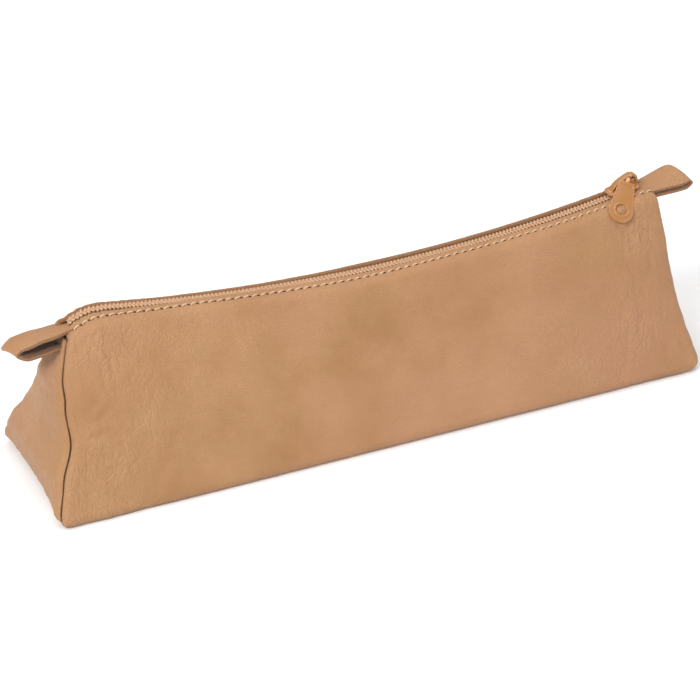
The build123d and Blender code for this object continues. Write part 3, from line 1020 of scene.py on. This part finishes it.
def plate(outlines, thickness, bevel, matrix, material):
    """Mesh of a bevelled plate from closed outlines (x, y) in millimetres; inner ones are holes."""
    curve = bpy.data.curves.new("plate", "CURVE")
    curve.dimensions = "2D"
    curve.fill_mode = "BOTH"
    for outline in outlines:
        spline = curve.splines.new("POLY")
        spline.points.add(len(outline) - 1)
        for point, (x, y) in zip(spline.points, outline):
            point.co = (x * MM, y * MM, 0, 1)
        spline.use_cyclic_u = True
    curve.extrude = (thickness / 2 - bevel) * MM
    curve.bevel_depth = bevel * MM
    curve.bevel_resolution = 3
    curve.offset = -bevel * MM
    carrier = bpy.data.objects.new("plate", curve)
    scene.collection.objects.link(carrier)
    evaluated = carrier.evaluated_get(bpy.context.evaluated_depsgraph_get())
    mesh = bpy.data.meshes.new_from_object(evaluated)
    bpy.data.objects.remove(carrier)
    mesh.transform(matrix)
    mesh.materials.clear()
    mesh.materials.append(material)
    mesh.shade_smooth()
    mesh.set_sharp_from_angle(angle=math.radians(50))
    welded = bmesh.new()
    welded.from_mesh(mesh)
    bmesh.ops.remove_doubles(welded, verts=welded.verts, dist=1e-6)
    welded.to_mesh(mesh)
    welded.free()
    return mesh


def circle(radius, centre):
    """Points of a circle."""
    angles = np.linspace(0, 2 * np.pi, 40, endpoint=False)
    return [(centre[0] + radius * math.cos(a), centre[1] + radius * math.sin(a)) for a in angles]


def rounded(corners, radius):
    """Closed outline through corners, each cut by a curve of about the given radius."""
    steps = 6
    points = []
    for i, corner in enumerate(corners):
        p, q, r = Vector(corners[i - 1]), Vector(corner), Vector(corners[(i + 1) % len(corners)])
        a, b = (p - q).normalized(), (r - q).normalized()
        reach = radius / math.tan(a.angle(b) / 2)
        start, end = q + a * reach, q + b * reach
        for k in range(steps + 1):
            t = k / steps
            points.append(tuple(start * (1 - t) ** 2 + q * 2 * t * (1 - t) + end * t * t))
    return points


# %% Slider body and cap
PLATE_TOP, PLATE_UNDER = 2.6, -0.9       # heights of the two plates' upper faces, in millimetres
PLATE_END = 5.2
body_meshes = []


def cast(outline, corner, thickness, bevel, y, z):
    """Adds one flat casting to the slider's body, centred at y and z on the slider, in millimetres."""
    place = on_slider @ Matrix.Translation((0, y * MM, z * MM))
    body_meshes.append(plate([rounded(outline, corner)], thickness, bevel, place, enamel))


def block(start, end, half):
    """Outline of a block along the slider, from start to end, to half its width on each side."""
    return [(start, -half), (end, -half), (end, half), (start, half)]


for width, z in ((6.6, PLATE_TOP - 0.5), (5.6, PLATE_UNDER - 0.5)):
    tail = width / 2 - 1.0
    cast([(-PLATE_END, -tail), (0.5, -width / 2), (PLATE_END, -width / 2),
          (PLATE_END, width / 2), (0.5, width / 2), (-PLATE_END, tail)], 1.5, 1.0, 0.3, 0, z)
wedge = [(1.7, -0.3), (4.1, -1.0), (4.7, -0.5), (4.7, 0.5), (4.1, 1.0), (1.7, 0.3)]
cast(wedge, 0.2, PLATE_TOP - PLATE_UNDER - 0.6, 0.1, 0, (PLATE_TOP + PLATE_UNDER) / 2)
for side in (-1, 1):
    cast(block(0.0, 4.0, 0.28), 0.2, 1.7, 0.15, side * 2.45, PLATE_TOP - 1.15)
cast(block(1.2, 4.7, 0.9), 0.3, 1.9, 0.15, 0, PLATE_TOP + 0.9)
finish_piece("slider_casting", body_meshes, "slider_body", body="slider")


def spline_points(knots):
    """Smooth curve through knots, by Catmull-Rom."""
    steps = 10
    knots = [Vector(k) for k in knots]
    knots = [2 * knots[0] - knots[1], *knots, 2 * knots[-1] - knots[-2]]
    points = []
    for a, b, c, d in zip(knots, knots[1:], knots[2:], knots[3:]):
        for k in range(steps):
            t = k / steps
            points.append(0.5 * (2 * b + (c - a) * t + (2 * a - 5 * b + 4 * c - d) * t**2
                                 + (3 * b - a - 3 * c + d) * t**3))
    return [tuple(p) for p in points] + [tuple(knots[-2])]


outer_arch = spline_points([(-4.4, 2.55), (-1.8, 4.7), (1.4, 5.9), (3.4, 6.2), (5.3, 5.4), (5.9, 2.55)])
inner_arch = spline_points([(-3.3, 2.55), (-1.4, 4.1), (1.4, 5.1), (3.3, 5.4), (4.6, 4.6), (5.0, 2.55)])
upright = on_slider @ Matrix.Rotation(math.pi / 2, 4, "X")
cap = plate([outer_arch + inner_arch[::-1]], 2.3, 0.26, upright, enamel)
finish_piece("slider_cap_strap", [cap], "slider_cap", body="slider")

# %% Pull
pivot = Vector(joints["pull_swing"]["pos_m"])
side_way = Vector((0.837, -0.449, -0.313)).normalized()
up_way = Vector((0.545, 0.615, 0.570)).normalized()
hang = Matrix.Translation(pivot) @ Matrix([side_way, up_way, side_way.cross(up_way)]).transposed().to_4x4()
end_centre, end_radius = -13.4, 4.0
arc = [(end_radius * math.cos(a), end_centre + end_radius * math.sin(a))
       for a in np.linspace(0, -math.pi, 24)]
shape = [(-1.9, -3.0), (1.9, -3.0), (2.4, -3.15), (2.62, -3.7)] + arc + [(-2.62, -3.7), (-2.4, -3.15)]
hole_centre = (0, -13.1)
inner = [(x * 0.84, end_centre + (y - end_centre) * 0.88 - 0.05) for x, y in shape]
neck = [(-0.7, -3.4), (0.7, -3.4), (0.6, -1.3), (-0.6, -1.3)]
pull_meshes = [
    plate([shape, circle(1.9, hole_centre)], 0.8, 0.2, hang, enamel),
    plate([shape, inner], 1.05, 0.24, hang, enamel),
    plate([circle(2.6, hole_centre), circle(1.8, hole_centre)], 1.4, 0.35, hang, enamel),
    plate([rounded(neck, 0.1)], 0.8, 0.2, hang, enamel),
]
a = np.linspace(0, 2 * np.pi, 33)
ring = np.column_stack([0 * a, 1.2 * np.cos(a), 0.66 * np.sin(a) - 0.15]) * MM
eye = small_part("eye", *tube(ring, 0.2 * MM, 10, cap=False), enamel).data
eye.transform(Matrix.Translation(pivot))
eye.shade_smooth()
finish_piece("pull_plate", [*pull_meshes, eye], "pull_tab", body="pull")

# %% [markdown]
# ## What stays as packed
# The hidden threads of the end seams and the lock pawl under the cap are already right, so they
# keep their imported meshes and only get their finishes.

# %% Finishes on imported parts
# The lock pawl gets the near-black steel, which is painted shade under the cap.
for name, material in (("left_end_seam", pale_thread), ("right_end_seam", pale_thread),
                       ("lock_pawl", spring_steel)):
    for packed in [o for o in bpy.data.objects if o.type == "MESH" and o.name.startswith(name)]:
        packed.data.materials.clear()
        packed.data.materials.append(material)
        print(packed.name, "in", material.name)
